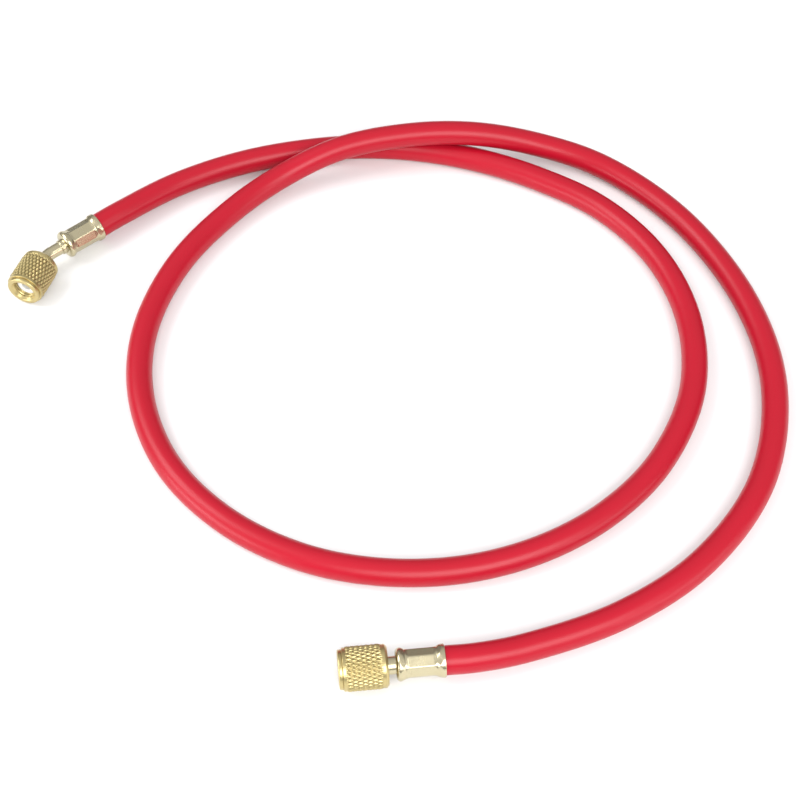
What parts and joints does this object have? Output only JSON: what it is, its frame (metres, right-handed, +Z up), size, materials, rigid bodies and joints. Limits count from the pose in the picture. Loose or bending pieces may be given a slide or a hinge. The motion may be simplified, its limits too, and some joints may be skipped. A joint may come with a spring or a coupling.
{
  "type": "refrigerant charging hose",
  "caption": "Red rubber refrigerant charging hose laid in loose turns, with crimped brass fittings and free-turning knurled coupling nuts, straight at one end and angled at the other.",
  "frame": {"origin": "on the floor under the middle of the whole part's box, as the hose lies", "axes": "+Z up; the straight fitting lies along X and its nut opens towards -X; the hose's turns lie flat in XY"},
  "size_m": [0.357, 0.3136, 0.0245],
  "materials": {
    "hose_rubber": "satin red cover",
    "plated_brass": "bright pale plating",
    "nut_brass": "bright yellow brass, knurled",
    "gasket_nylon": "white, slightly waxy",
    "depressor_brass": "dull plated"
  },
  "bodies": {
    "root": {"hose_tube": "hose_rubber", "angled_ferrule": "plated_brass", "angled_stem": "plated_brass", "angled_gasket": "gasket_nylon", "core_depressor": "depressor_brass", "straight_ferrule": "plated_brass", "straight_stem": "plated_brass", "straight_gasket": "gasket_nylon"},
    "straight_nut": {"straight_nut": "nut_brass"},
    "angled_nut": {"angled_nut": "nut_brass"}
  },
  "joints": [
    {"name": "straight_nut_spin", "type": "hinge", "parent": "root", "child": "straight_nut", "pos_m": [-0.02799, -0.14783, 0.009], "axis": [-1, 0, 0], "continuous": true},
    {"name": "angled_nut_spin", "type": "hinge", "parent": "root", "child": "angled_nut", "pos_m": [-0.16709, 0.07507, 0.009], "axis": [-0.4226, -0.9063, 0], "continuous": true}
  ]
}
